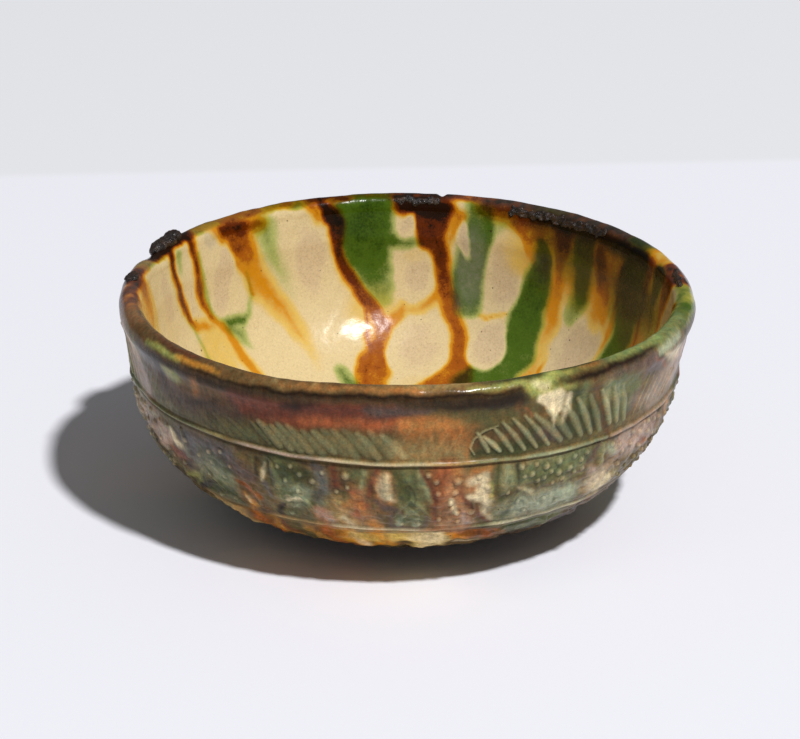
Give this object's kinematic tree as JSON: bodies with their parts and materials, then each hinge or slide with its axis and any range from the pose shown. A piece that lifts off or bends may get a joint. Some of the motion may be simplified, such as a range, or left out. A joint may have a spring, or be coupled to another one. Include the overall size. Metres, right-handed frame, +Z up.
{
  "type": "sancai bowl",
  "caption": "Small round press-moulded bowl with a rolled lip, raised lines round the side, and a splashed three-colour lead glaze inside and out.",
  "frame": {"origin": "middle of the flat ring that the bowl rests on", "axes": "+Z up out of the bowl's mouth, -Y towards the front of the picture, +X to its right"},
  "size_m": [0.0964, 0.0964, 0.0402],
  "materials": {
    "clay": "bare fired buff earthenware, matt",
    "outer_glaze": "thin lead glaze in brown, amber, green and cream, soft gloss",
    "lip_glaze": "pooled lead glaze in dark brown, olive and green, glossy",
    "inner_glaze": "cream lead glaze with running amber, brown and green, glossy",
    "grit": "burnt kiln grit, rough"
  },
  "bodies": {
    "root": {"clay_body": "clay", "outer_glaze": "outer_glaze", "lip_glaze": "lip_glaze", "inner_glaze": "inner_glaze", "grit_lump_left": "grit", "grit_lump_far_left": "grit", "grit_crust_back": "grit", "grit_crust_back_right": "grit", "grit_lump_right": "grit"}
  },
  "joints": []
}
